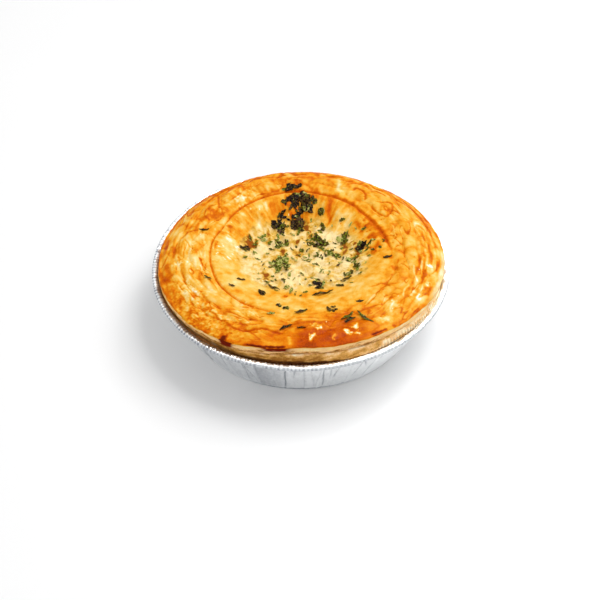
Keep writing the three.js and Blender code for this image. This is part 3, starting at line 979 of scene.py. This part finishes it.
def wall_relief(sizes, angle, height):
    """How far the tin's wall stands out, and how much painted shade each place gets: in its creases,
    across each facet and more at the left.
    """
    chance = random.Random(TIN_SEED)
    creases = wall_creases(sizes, chance)
    starts = np.array([crease[0] for crease in creases] + [creases[0][0] + TURN])
    tilts = np.array([chance.uniform(-0.8, 0.8) for _ in creases])
    share = angle / TURN * PLEATS % 1
    pleat = np.where(share < 0.5, share, (1 - share) * 0.5)
    out = PLEAT_DEPTH * (0.7 + 0.3 * np.sin(7 * angle + 1)) * pleat
    turn = (angle - starts[0]) % TURN + starts[0]
    facet = np.clip(np.searchsorted(starts, turn, side="right") - 1, 0, len(creases) - 1)
    across = (turn - starts[facet]) / (starts[facet + 1] - starts[facet])
    quiet = mix(1.0, 0.35, around(angle, 330, 110))
    out += quiet * tilts[facet] * (across - 0.5)
    # Painted shade: a tone for each facet, fading across it, deeper at the left and lighter at the
    # front.
    tones = np.array([chance.uniform(0, 0.34) for _ in creases])
    painted_wall_shade = tones[facet] * mix(1.0, 0.2, across) * mix(1.0, 0.4, around(angle, 300, 110))
    painted_wall_shade += 0.22 * (around(angle, 225, 130) + around(angle, 255, 22))
    painted_wall_shade -= 0.12 * around(angle, 272, 24)
    halfway, crease_width = 14, 0.34
    for at, lean, depth, length in creases:
        middle = at + lean * (height - halfway) / halfway + 0.003 * np.sin(height / 3 + 90 * at)
        apart = np.arctan2(np.sin(angle - middle), np.cos(angle - middle)) * wall_radius(height)
        reach = 1 - smooth(4 + 20 * length, 12 + 20 * length, TIN_HEIGHT - height)
        mark = quiet * depth * reach * np.exp(-((apart / crease_width) ** 2))
        out += 0.3 * depth * reach * hump(apart, 1.1, 1.8) - 0.5 * mark
        # Painted shade in each crease.
        painted_wall_shade = np.maximum(painted_wall_shade, mark)
    window = smooth(CORNER_RADIUS * 0.5, CORNER_RADIUS + 3, height)
    window *= 1 - 0.85 * smooth(COLLAR_FROM, COLLAR_FROM + 1.2, height)
    dents = rough(columns(9 * np.cos(angle), 9 * np.sin(angle), height / 7), 1, 3, 2)
    return (out + 0.3 * dents) * window, painted_wall_shade * window


def make_tin(sizes):
    """The foil tin: flat base, creased wall, ribbed collar and rolled bead."""
    sheet, rib_depth = sizes.sheet / MM, sizes.rib_depth / MM
    bead_centre = sizes.rim_radius / MM - BEAD_RADIUS
    foot = [(0, 0), (30, 0), (BASE_RADIUS - 3, 0), (BASE_RADIUS - 1, 0.02)]
    foot += [(BASE_RADIUS - 0.1, 0.2), (BASE_RADIUS + 0.25, 0.66), (BASE_RADIUS + 0.6, 1.2)]

    # Heights on the wall, outside and inside, and degrees round the rolled bead between them.
    outside = [CORNER_RADIUS + 0.75 * k for k in range(33)]
    bead = list(range(-80, 215, 20))
    inside = [26.4, 25.9, 25.4, 24.9, 24.4, 23.5, 22, CORNER_RADIUS]
    last = [(BASE_RADIUS - 3, sheet), (0, sheet)]
    kinds = ["plain"] * len(foot) + ["outside"] * len(outside) + ["bead"] * len(bead)
    kinds += ["inside"] * len(inside) + ["plain"] * len(last)
    numbers = [0] * len(foot) + outside + bead + inside + [0] * len(last)

    def place(row, angle):
        kind, number = np.array(kinds)[row], np.array(numbers, dtype=float)[row]
        spots = np.array([(0, 0)] * len(kinds), dtype=float)
        spots[: len(foot)] = foot
        spots[-len(last) :] = last
        radius, height = spots[row, 0], spots[row, 1]

        wall = (kind == "outside") | (kind == "inside")
        on_wall, level = angle[wall], number[wall]
        out, crease = wall_relief(sizes, on_wall, level)
        collar = smooth(COLLAR_FROM - 0.4, COLLAR_FROM + 0.6, level)
        rib = rib_depth * collar * np.cos(sizes.ribs * on_wall)
        inwards = np.where(kind[wall] == "inside", sheet, 0)
        radius[wall] = wall_radius(level) + out + rib - inwards
        height[wall] = level

        rolled = kind == "bead"
        turn, at = np.radians(number[rolled]), angle[rolled]
        uneven = rough(columns(30 * np.cos(at), 30 * np.sin(at), 0 * at), 1, 4)
        crimped = 0.2 + 0.8 * around(at, 195, 240)
        crimp = crimped * (0.14 + 0.14 * uneven) * np.cos(sizes.ribs * at + 2 * uneven)
        thick = np.minimum(BEAD_RADIUS - 0.16 + 0.1 * (1 - crimped) + crimp, BEAD_RADIUS)
        wider_inside = np.where(np.cos(turn) < 0, 1.9, 1)
        radius[rolled] = bead_centre + thick * np.cos(turn) * wider_inside
        height[rolled] = BEAD_HEIGHT + thick * np.sin(turn) - 0.1 + 0.1 * np.sin(9 * at)
        height = lifted(height, angle)

        # Baked-on gravy inside the tin, and on the bead's inner side at the left painted shade of
        # the gap in the same brown.
        stain_and_gap_shade = (kind == "inside") * (1 - smooth(24.6, 26.6, number))
        stain_and_gap_shade *= 0.25 + 0.75 * around(angle, 215, 190)
        stain_and_gap_shade[rolled] = 0.8 * smooth(1.6, 2.2, turn + 0.5 * uneven) * around(at, 195, 150) ** 0.5

        # Painted shade and painted dark reflections, where the foil would mirror something dark:
        # creases, ribs, under the bead and along the foot.
        painted_foil_shade = np.zeros(len(row))
        near_bead = smooth(BEAD_HEIGHT - 2.6, BEAD_HEIGHT - 1, level)
        under_bead = 0.5 * hump(level, BEAD_HEIGHT - 1.4, 1.8) * around(on_wall, 230, 300)
        groove = (0.5 - 0.5 * np.cos(sizes.ribs * on_wall)) * near_bead
        groove *= 0.3 + 0.5 * around(on_wall, 230, 260)
        creased = np.maximum(crease, np.maximum(groove, under_bead))
        painted_foil_shade[wall] = np.where(kind[wall] == "outside", creased, 0)
        # Painted contact shade along the foot at the front.
        painted_foil_shade += (kind == "outside") * (1 - smooth(2.2, 3.6, number)) * around(angle, 268, 90)
        # On the bead: painted shade in the crimps and on its underside.
        notch = crimped * (0.5 - 0.5 * np.cos(sizes.ribs * at + 2 * uneven))
        low = 1 - smooth(0.3, 1.1, turn + 0.4 * uneven)
        painted_foil_shade[rolled] = notch * (0.6 + 0.9 * uneven) + low * (0.44 + 0.3 * notch)
        return radius, height, stain_and_gap_shade, np.clip(painted_foil_shade, 0, 1)

    tin = turned("tin", len(kinds), 4 * sizes.ribs, place, TIN_SHARES)
    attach(tin, "root")
    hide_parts("foil_tin")
    return tin


def foil_finish(colours):
    finish = Finish("pressed_foil")
    stain_and_gap_shade = (finish.share("stain_and_gap_shade") * (0.6 + 0.9 * finish.noise(3, 3)) - 0.15).clamped()
    crinkle = finish.noise(3.2, 5, finish.stretched(1, 1, 0.45), 0.6)
    fine = finish.noise(0.6, 2)
    drawn = finish.noise(1.3, 3, finish.stretched(1, 1, 0.14), 0.6)
    # Painted shade and painted dark reflections in bluish grey, streaked by the drawn marks.
    shade = (finish.share("painted_shade") * 0.8 + (drawn - 0.58) * 0.5).clamped()
    bare = finish.blend(shade, colours.foil, linear(84, 92, 112))
    burnt_on = finish.blend(fine, colours.juice, linear(104, 62, 28))
    return finish.finish(
        Base_Color=finish.blend(stain_and_gap_shade, bare, burnt_on),
        Metallic=1 - stain_and_gap_shade,
        Roughness=0.26 + 0.16 * fine + 0.2 * stain_and_gap_shade,
        Normal=finish.bump(crinkle + 0.12 * fine, 1.4),
    )


def make_case(sizes):
    """The pastry case with its filling: an upright rim in the tin, and the level under the lid."""
    sheet = sizes.sheet / MM
    floor = sheet + CASE_FLOOR_GAP
    corner = [(0, floor), (BASE_RADIUS - 5.5, floor)]
    corner += [(wall_radius(z) - sheet - CASE_WALL_GAP, z) for z in (4.5, 12, CASE_UPRIGHT_FROM)]

    # How many rows go up the upright rim, and the radii of the level under the lid.
    upright = 27
    level = (63, 58, 50, 42.5, 28, 16, 0)

    def place(row, angle):
        radius, height = np.zeros(len(row)), np.zeros(len(row))
        low = row < len(corner)
        radius[low], height[low] = np.array(corner)[row[low]].T
        height[low] = lifted(height[low], angle[low])
        over = row >= len(corner) + upright
        radius[over] = np.array(level)[row[over] - len(corner) - upright]
        height[over] = seam(radius[over], angle[over])
        side = ~low & ~over
        at, share = angle[side], (row[side] - len(corner)) / (upright - 1)
        rim = np.minimum(CASE_RIM_RADIUS - 0.2, lid_edge(at) - CASE_SET_BACK)
        height[side] = mix(lifted(CASE_UPRIGHT_FROM + 4, at), seam_height(at), share)
        layers = drum(height[side], at, 5, 0.55)
        loose = drum(height[side], at, 1.6, 0.4)
        pressed = around(at, 317, 46) ** 0.5 * hump(over_rim(height[side], at), 1.7, 4.6)
        snug = np.minimum(1, 1.6 * around(at, 330, 170))
        out = 0.14 * rough(layers, 1, 1, 2) + 0.08 * rough(loose, 1, 2)
        out += 0.35 * smooth(0.2, 0.6, share)
        out += pressed * 0.24 * np.cos(sizes.ribs * at) + snug * 1.0 * (1 - smooth(0.6, 1, share))
        radius[side] = mix(CASE_RIM_RADIUS, rim, share**2) + 0.2 * np.sin(9 * at) + out
        # The grooves of the rib marks get painted shade.
        ribbed = np.zeros(len(row))
        ribbed[side] = pressed * (0.5 - 0.5 * np.cos(sizes.ribs * at))
        dark = np.zeros(len(row))
        # Baked brown, with painted shade from the gap, just above the bead.
        dark[side] = burnt(height[side], at)
        upper = 0.75 * smooth(2.6, 5.2, over_rim(height, angle))
        pale = np.maximum(around(angle, 335, 120) ** 0.6, upper)
        pale = np.maximum(pale, 0.7 * around(angle, 205, 120))
        return radius, height, dark, ribbed, pale

    rows = len(corner) + upright + len(level)
    case = turned("case", rows, 4 * sizes.ribs, place, CASE_SHARES)
    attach(case, "root")
    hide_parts("pastry_base")
    return case


def case_finish(colours):
    finish = Finish("layered_case")
    layers = finish.noise(2.6, 3, finish.stretched(0.5, 0.5, 1.5))
    fine = finish.noise(0.8, 3)
    dark, ribbed, pale = (finish.share(name) for name in CASE_SHARES)
    shade = finish.ramp(
        (1.7 * (layers - 0.5) + 0.5 * (fine - 0.5) + 0.08 + 0.66 * pale).clamped(),
        (0.0, linear(160, 104, 34)),
        (0.34, colours.tan),
        (0.55, linear(246, 200, 138)),
        (0.85, linear(255, 240, 200)),
    )
    # Painted shade in the grooves of the rib marks.
    shade = finish.blend(ribbed * 0.8, shade, linear(140, 108, 76))
    # Baked brown with painted shade from the gap, for the side just above the bead.
    deep = finish.blend(fine.between(0.3, 0.75), linear(58, 20, 2), linear(112, 62, 18))
    return finish.finish(
        Base_Color=finish.blend(dark, shade, deep),
        Roughness=0.6 + 0.2 * fine,
        Specular_IOR_Level=0.15,
        Normal=finish.bump(layers + 0.4 * fine, 0.2),
    )


def make_juices(sizes):
    """Gravy that boiled over and baked on, in the gap between the crust and the tin."""
    inner, bottom, steps = CASE_RIM_RADIUS - 0.6, 22.8, 8
    sheet = sizes.sheet / MM

    def place(row, angle):
        deep = around(angle, 215, 200)
        share = np.clip((row - 1) / steps, 0, 1)
        top = 24.3 + 2.3 * deep + 0.3 * np.sin(13 * angle + np.sin(7 * angle))
        sag = -0.9 * np.sin(math.pi * share) * (1 - 0.6 * deep)
        height = top + sag + 0.5 * smooth(0.4, 1, share) * deep
        radius = mix(inner, wall_radius(height) - sheet + 0.2, share)
        height += 0.3 * rough(drum(radius, angle, 2.2, 1.4), 1, 5, 2)
        low = (row == 0) | (row == steps + 2) | (row == steps + 3)
        height = lifted(np.where(low, bottom, height), angle)
        outer = wall_radius(bottom) - sheet + 0.1
        radius = np.where(row == steps + 2, outer, np.where(low, inner, radius))
        return radius, height, deep

    juices = turned("baked_juices", steps + 4, 480, place, ["deep"])
    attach(juices, "root")
    return juices


def juice_finish(colours):
    finish = Finish("baked_gravy")
    lump = finish.noise(1.6, 3)
    return finish.finish(
        Base_Color=finish.blend(lump.between(0.35, 0.75), colours.juice, linear(224, 160, 86)),
        Roughness=0.35 + 0.3 * lump,
        Normal=finish.bump(lump, 0.4),
    )


def make_lid(sizes):
    """The golden lid, with its puffed band, stamped ring and sunken middle."""
    under = (0, 28, 50, 63)

    # How many rows go up the side, round the lip, over the band and down into the middle.
    side, lip, outer, inner = 11, 3, 60, 58
    split = 0.62
    rows = len(under) + side + lip + outer + inner + 1

    def place(row, angle):
        edge, top, bottom = lid_edge(angle), edge_height(angle), seam_height(angle) + SEAM_GAP
        low = row < len(under)
        upright = ~low & (row < len(under) + side)
        lipped = (row >= len(under) + side) & (row < len(under) + side + lip)
        over = row >= len(under) + side + lip

        # Shares along the side and the lip, and from the lip, 1, to the middle, 0.
        up = (row - len(under)) / (side - 1)
        turn = (row - len(under) - side + 1) / (lip + 1) * math.pi / 2
        step = row - len(under) - side - lip
        to_split = 1 - (1 - split) * step / outer
        across = np.where(step < outer, to_split, split * (1 - (step - outer) / inner))

        radius = np.where(low, np.array(under)[np.minimum(row, len(under) - 1)], 0.0)
        bulge = np.interp(up, (0, 0.1, 0.35, 0.8, 1), (-0.7, -0.35, -0.15, 0.0, 0.1))
        radius = np.where(upright, edge + bulge, radius)
        radius = np.where(lipped, edge - LIP_INSET + LIP_RADIUS * np.cos(turn), radius)
        middle = BAND_INNER * (1 - np.clip(1 - across / split, 0, 1) ** 1.3)
        band = mix(BAND_INNER, edge - TOP_INSET, (across - split) / (1 - split))
        radius = np.where(over, np.where(across > split, band, middle), radius)

        height, baked, pale = crust(radius, angle, sizes.relief)
        near_edge = smooth(0.4, 3.2, edge - radius)
        crest = top + LIP_RADIUS - LIP_INSET
        height = mix(crest + (height - lid_form(radius, angle)) * 0.3, height, near_edge)
        height = np.where(low, seam(radius, angle) + SEAM_GAP, height)
        height = np.where(upright, mix(bottom, top - LIP_INSET, up), height)
        wave = 0.18 * rough(drum(radius, angle, 4, 4), 1, 22, 2)
        height = np.where(lipped, top - LIP_INSET + LIP_RADIUS * np.sin(turn) + wave, height)
        ragged = 0.3 * rough(drum(height, angle, 3.2, 0.8), 1, 21, 2)
        over_lip = turn / (math.pi / 2)
        radius += ragged * np.where(upright, 1, np.where(lipped, 1 - over_lip, 0))

        # What the finish reads: the bare side, the glaze that ran over it and the leaks.
        bare = around(angle, 345, 40) * smooth(-2.1, -1.0, radius - edge + 1.6 * ragged)
        lip_side = 1 - smooth(0.05, 0.45, over_lip)
        ran_over = 0.75 * around(angle, 195, 130) + 0.35 * around(angle, 105, 120)
        upper = 1 - smooth(0.85, 1.05, up + ran_over * (0.4 + 8 / 3 * ragged))
        on_side = np.where(over, bare, np.where(lipped, np.maximum(lip_side * upper, bare), upper))
        leak = 1.6 * around(angle, 260, 16) * smooth(0.45, 0.75, up + 0.5 * ragged)
        leak += 2 * around(angle, 240, 8) * smooth(0.0, 0.35, up)
        leak = np.clip(leak, 0, 1) + 0.5 * (1 - upper)
        baked = np.where(upright, leak, np.where(low, 0, baked * (1 - bare)))
        # The side darkens just above the bead: baked brown, with painted shade from the gap.
        up = np.where(upright, up - 2 * burnt(height, angle), np.where(low, 0, 1))
        up -= 0.45 * around(angle, 235, 90) + 0.4 * around(angle, 285, 80)
        gloss = smooth(RING_RADIUS, RING_RADIUS + 4, radius) * (0.4 + 0.6 * around(angle, 320, 190))
        return radius, height, baked, pale, on_side, up, gloss, front_glaze(radius, angle)

    lid = turned("lid", rows, sizes.lid_segments, place, LID_SHARES)
    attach(lid, "root")
    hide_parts("pastry_lid")
    return lid


def lid_finish(colours):
    finish = Finish("glazed_crust")
    baked, pale, side, up, gloss, calm = (finish.share(name) for name in LID_SHARES)
    mottle = finish.noise(2.8, 4)
    fine = finish.noise(0.8, 3, roughness=0.55)
    curds = finish.noise(3.6, 2)
    layers = finish.noise(2.6, 2, finish.stretched(0.5, 0.5, 2))
    level = (baked + (0.3 - 0.18 * calm) * (mottle - 0.5) + 0.18 * (fine - 0.5)).clamped()
    golden = finish.ramp(
        level,
        # Painted highlight: glints of the glaze, and the palest flakes.
        (0.0, colours.glint_and_pale_flake),
        (0.12, colours.cream),
        (0.27, colours.straw),
        (0.42, colours.gold),
        (0.56, colours.amber),
        (0.7, colours.orange),
        (0.87, colours.russet),
        (1.0, colours.scorched),
    )
    floor = finish.ramp(
        (curds + 0.3 * (fine - 0.5) + 1.1 * (0.3 - baked)).between(0.1, 0.72),
        # The darker stops are painted shade of the floor's hollows with toasted brown; the palest
        # also serves the painted highlights on its lumps.
        (0.0, linear(150, 80, 20)),
        (0.26, colours.hollow_shade),
        (0.5, colours.middle),
        (1.0, linear(252, 226, 166)),
    )
    crumb = finish.ramp(
        (1.5 * (layers - 0.5) + 0.5 * (fine - 0.5) + 0.45 * up + 0.28).clamped(),
        (0.0, linear(150, 98, 40)),
        (0.2, linear(214, 158, 88)),
        (0.38, linear(248, 200, 140)),
        (0.62, colours.crumb),
        (0.9, linear(255, 240, 196)),
    )
    leak = (baked * (0.6 + 0.8 * layers)).clamped()
    toasted = level.between(0.7, 0.95) * 0.4
    flaky = (pale * (0.6 + 0.9 * mottle)).between(0.2, 0.95) * (1 - toasted)
    top = finish.blend(flaky, golden, floor)
    surface = finish.blend(side, top, finish.blend(leak, crumb, linear(112, 22, 4)))
    shine = (gloss * (1 - side)).clamped()
    return finish.finish(
        Base_Color=surface,
        Roughness=0.56 - 0.38 * shine + 0.1 * (mottle - 0.5),
        Specular_IOR_Level=0.02,
        Normal=finish.bump(mottle * 0.4 + fine * 0.5 + layers * side * 0.5, 0.6),
    )


def scattered_flakes(sizes, chance):
    """Where every herb flake lies: x, y, its turn, length, width and freshness."""
    flakes = []
    for x, y, spread, count, length, fresh in TUFTS:
        for _ in range(round(TUFT_FILL * count)):
            turn, reach = chance.uniform(0, TURN), spread * math.sqrt(chance.random())
            place = (x + reach * math.cos(turn), y + reach * math.sin(turn))
            tone = 1.3 * fresh + chance.uniform(-0.32, 0.22) + 0.6 * (chance.random() < 0.12)
            size = length * chance.uniform(0.45, 1.1)
            aim, narrow = chance.uniform(0, TURN), chance.uniform(0.15, 0.34)
            flakes.append((*place, aim, size, size * narrow, tone))
    for x, y, degrees, length, fresh in LEAVES:
        width = min(0.7, 0.17 * length)
        flakes.append((x, y, math.radians(degrees), length, width, fresh + 0.14))
    for _ in range(sizes.chips):
        turn, reach = chance.uniform(0, TURN), CHIPS_REACH * chance.random() ** 0.6
        x, y = CHIPS_AT
        place = (x + 1.15 * reach * math.cos(turn), y + reach * math.sin(turn))
        size = chance.uniform(0.9, 2.6)
        tone = chance.uniform(0.4, 1)
        aim, narrow = chance.uniform(0, TURN), chance.uniform(0.12, 0.3)
        flakes.append((*place, aim, size, size * narrow, tone))
    return flakes


def flake_mesh(name, count):
    """Many copies of one flat flake, and the places of the vertices of one copy."""
    flat = bpy.data.meshes.new("flat_flake")
    bm = bmesh.new()
    bmesh.ops.create_grid(bm, x_segments=6, y_segments=3, size=1)
    bmesh.ops.solidify(bm, geom=bm.faces[:], thickness=FLAKE_THICKNESS)
    bm.to_mesh(flat)
    bm.free()
    places = read_places(flat)
    bm = bmesh.new()
    for _ in range(count):
        bm.from_mesh(flat)
    mesh = bpy.data.meshes.new(name)
    bm.to_mesh(mesh)
    bm.free()
    bpy.data.meshes.remove(flat)
    return mesh, places


def make_herbs(sizes):
    """Dried herb flakes in tufts and singly, and small green chips over the pale middle."""
    chance = random.Random(HERB_SEED)
    flakes = scattered_flakes(sizes, chance)
    mesh, one_flake = flake_mesh("herbs", len(flakes))
    u, v, side = one_flake.T
    x, y, turn, length, width, fresh = (column[:, None] for column in np.array(flakes).T)
    limits = ((-0.3, 0.3), (0.05, 0.5), (-0.4, 0.4), (0, TURN), (0.02, 0.5))
    bend, curl, twist, phase, lift = (
        np.array([chance.uniform(*pair) for _ in flakes])[:, None] for pair in limits
    )
    outline = (1 - 0.8 * np.abs(u) ** 3) * (1 + 0.25 * np.sin(6 * u + phase))
    along = u * length / 2 + 0.06 * length * np.sin(4 * v + phase)
    aside = v * width * outline + bend * 0.25 * length * u * u
    up = 0.16 * length * (curl * u * u + twist * u * v + 0.35 * v * v)
    up += 0.05 * length * np.sin(5 * u + phase)
    over_x = along * np.cos(turn) - aside * np.sin(turn)
    over_y = along * np.sin(turn) + aside * np.cos(turn)

    # Each flake lies along the lid's slope, and just clear of its surface.
    step = 0.9
    level = lid_height(x, y)
    slope_x = (lid_height(x + step, y) - lid_height(x - step, y)) / (2 * step)
    slope_y = (lid_height(x, y + step) - lid_height(x, y - step)) / (2 * step)
    plane = level + over_x * slope_x + over_y * slope_y
    under = lid_height(x + over_x, y + over_y)
    height = np.clip(plane + up + lift, under + 0.2, under + 1.5) + side
    places = np.stack([x + over_x, y + over_y, height], axis=2)
    mesh.vertices.foreach_set("co", (places * MM).ravel())
    write_share(mesh, "fresh", np.clip(fresh + 0 * u, 0, 1).ravel())
    mesh.shade_smooth()
    herbs = piece("herbs", mesh)
    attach(herbs, "root")
    return herbs


def lid_height(x, y):
    """Height of the lid's top over any place, in mm."""
    radius, angle = np.hypot(x, y).ravel(), np.arctan2(y, x).ravel() % TURN
    return crust(radius, angle)[0].reshape(x.shape)


def herb_finish():
    finish = Finish("dried_herb")
    fresh = finish.share("fresh")
    fleck = finish.noise(0.8, 2)
    shade = finish.ramp(
        (fresh + 2.2 * (fleck - 0.5)).clamped(),
        (0.0, linear(14, 5, 4)),
        (0.2, linear(58, 36, 18)),
        (0.34, linear(112, 76, 34)),
        (0.48, linear(72, 70, 4)),
        (0.75, linear(110, 126, 0)),
        (1.0, linear(192, 186, 104)),
    )
    return finish.finish(
        Base_Color=shade,
        Roughness=0.28 + 0.2 * fleck,
        Specular_IOR_Level=0.05,
        Normal=finish.bump(fleck, 0.5),
    )


def floor_finish(light):
    finish = Finish("pale_floor")
    greyer = tuple(0.985 * part for part in light.floor)
    return finish.finish(
        Base_Color=finish.blend(finish.noise(90, 1), light.floor, greyer), Roughness=0.7
    )


# What the lamps face.
PIE_MIDDLE = Vector((0, 0, 0.02))


def area_light(name, place, size, watts):
    lamp = bpy.data.lights.new(name, "AREA")
    lamp.shape = "RECTANGLE"
    lamp.size, lamp.size_y = size
    lamp.energy = watts
    made = bpy.data.objects.new(name, lamp)
    made.location = place
    made.rotation_euler = (PIE_MIDDLE - Vector(place)).to_track_quat("-Z", "Y").to_euler()
    bpy.context.scene.collection.objects.link(made)
    return made


# The camera: what it looks at, how far off it is, how steeply it looks down, its tilt and lens.
CAMERA_TARGET = Vector((-0.00047, -0.0103, 0.015))
CAMERA_DISTANCE = 0.7
CAMERA_DEGREES = 43.65
CAMERA_ROLL = -0.62
CAMERA_LENS = 89.0


def make_camera():
    steep, roll = math.radians(CAMERA_DEGREES), math.radians(CAMERA_ROLL)
    ahead = Vector((0, math.cos(steep), -math.sin(steep)))
    right = Vector((1, 0, 0))
    up = right.cross(ahead)
    axis_x = right * math.cos(roll) + up * math.sin(roll)
    axis_y = up * math.cos(roll) - right * math.sin(roll)
    lens = bpy.data.cameras.new("camera")
    lens.lens = CAMERA_LENS
    lens.sensor_width = 36
    lens.clip_end = 20
    camera = bpy.data.objects.new("camera", lens)
    axes = Matrix((axis_x, axis_y, -ahead)).transposed().to_4x4()
    camera.matrix_world = Matrix.Translation(CAMERA_TARGET - CAMERA_DISTANCE * ahead) @ axes
    bpy.context.scene.collection.objects.link(camera)
    bpy.context.scene.camera = camera


def make_stage(light):
    """A wide pale floor, a pale room, an overhead softbox, two small lamps and the camera."""
    floor = piece("floor", grid_mesh("floor", 2, 2, 4))
    floor.data.materials.append(floor_finish(light))
    world = bpy.data.worlds.new("pale_room")
    world.use_nodes = True
    back = world.node_tree.nodes["Background"]
    back.inputs["Color"].default_value = (1, 1, 1, 1)
    back.inputs["Strength"].default_value = light.fill
    bpy.context.scene.world = world
    softbox = area_light("softbox", (0.4, 0.15, 0.9), (0.7, 0.6), light.softbox)
    softbox.visible_glossy = False
    for name, place in (("front_lamp", (0.2, 0.02, 0.95)), ("side_lamp", (0.42, 0.4, 0.8))):
        lamp = area_light(name, place, (0.1, 0.1), light.lamp)
        lamp.visible_diffuse = False
    bpy.context.scene.view_settings.view_transform = "Standard"
    make_camera()


# Operators, panel and registration.


class POTPIE_OT_make_tin(bpy.types.Operator):
    """Make the foil tin"""

    bl_idname = "pot_pie.make_tin"
    bl_label = "Foil Tin"

    def execute(self, context):
        tin = make_tin(context.scene.pie_sizes)
        tin.data.materials.append(foil_finish(context.scene.pie_colours))
        return {"FINISHED"}


class POTPIE_OT_make_case(bpy.types.Operator):
    """Make the pastry case, and the gravy baked on round it"""

    bl_idname = "pot_pie.make_case"
    bl_label = "Pastry Case"

    def execute(self, context):
        case = make_case(context.scene.pie_sizes)
        case.data.materials.append(case_finish(context.scene.pie_colours))
        juices = make_juices(context.scene.pie_sizes)
        juices.data.materials.append(juice_finish(context.scene.pie_colours))
        return {"FINISHED"}


class POTPIE_OT_make_lid(bpy.types.Operator):
    """Make the golden lid"""

    bl_idname = "pot_pie.make_lid"
    bl_label = "Pastry Lid"

    def execute(self, context):
        lid = make_lid(context.scene.pie_sizes)
        lid.data.materials.append(lid_finish(context.scene.pie_colours))
        return {"FINISHED"}


class POTPIE_OT_make_herbs(bpy.types.Operator):
    """Scatter the herb flakes over the lid"""

    bl_idname = "pot_pie.make_herbs"
    bl_label = "Herb Flakes"

    def execute(self, context):
        herbs = make_herbs(context.scene.pie_sizes)
        herbs.data.materials.append(herb_finish())
        return {"FINISHED"}


class POTPIE_OT_make_stage(bpy.types.Operator):
    """Make the floor, the light and the camera"""

    bl_idname = "pot_pie.make_stage"
    bl_label = "Stage"

    def execute(self, context):
        make_stage(context.scene.pie_light)
        return {"FINISHED"}


OPERATORS = (
    POTPIE_OT_make_tin,
    POTPIE_OT_make_case,
    POTPIE_OT_make_lid,
    POTPIE_OT_make_herbs,
    POTPIE_OT_make_stage,
)


class POTPIE_PT_panel(bpy.types.Panel):
    """Pieces of the pot pie"""

    bl_idname = "POTPIE_PT_panel"
    bl_label = "Pot Pie"
    bl_space_type = "VIEW_3D"
    bl_region_type = "UI"
    bl_category = "Pot Pie"

    def draw(self, context):
        scene = context.scene
        for settings in (scene.pie_sizes, scene.pie_colours, scene.pie_light):
            box = self.layout.box()
            for name in settings.bl_rna.properties.keys():
                if name not in ("rna_type", "name"):
                    box.prop(settings, name)
        for operator in OPERATORS:
            self.layout.operator(operator.bl_idname)


CLASSES = (PieSizes, PieColours, PieLight, *OPERATORS, POTPIE_PT_panel)


def register():
    for kind in CLASSES:
        bpy.utils.register_class(kind)
    bpy.types.Scene.pie_sizes = bpy.props.PointerProperty(type=PieSizes)
    bpy.types.Scene.pie_colours = bpy.props.PointerProperty(type=PieColours)
    bpy.types.Scene.pie_light = bpy.props.PointerProperty(type=PieLight)


def unregister():
    del bpy.types.Scene.pie_light
    del bpy.types.Scene.pie_colours
    del bpy.types.Scene.pie_sizes
    for kind in reversed(CLASSES):
        bpy.utils.unregister_class(kind)


def main():
    register()
    bpy.ops.pot_pie.make_tin()
    bpy.ops.pot_pie.make_case()
    bpy.ops.pot_pie.make_lid()
    bpy.ops.pot_pie.make_herbs()
    bpy.ops.pot_pie.make_stage()


if __name__ == "__main__":
    main()
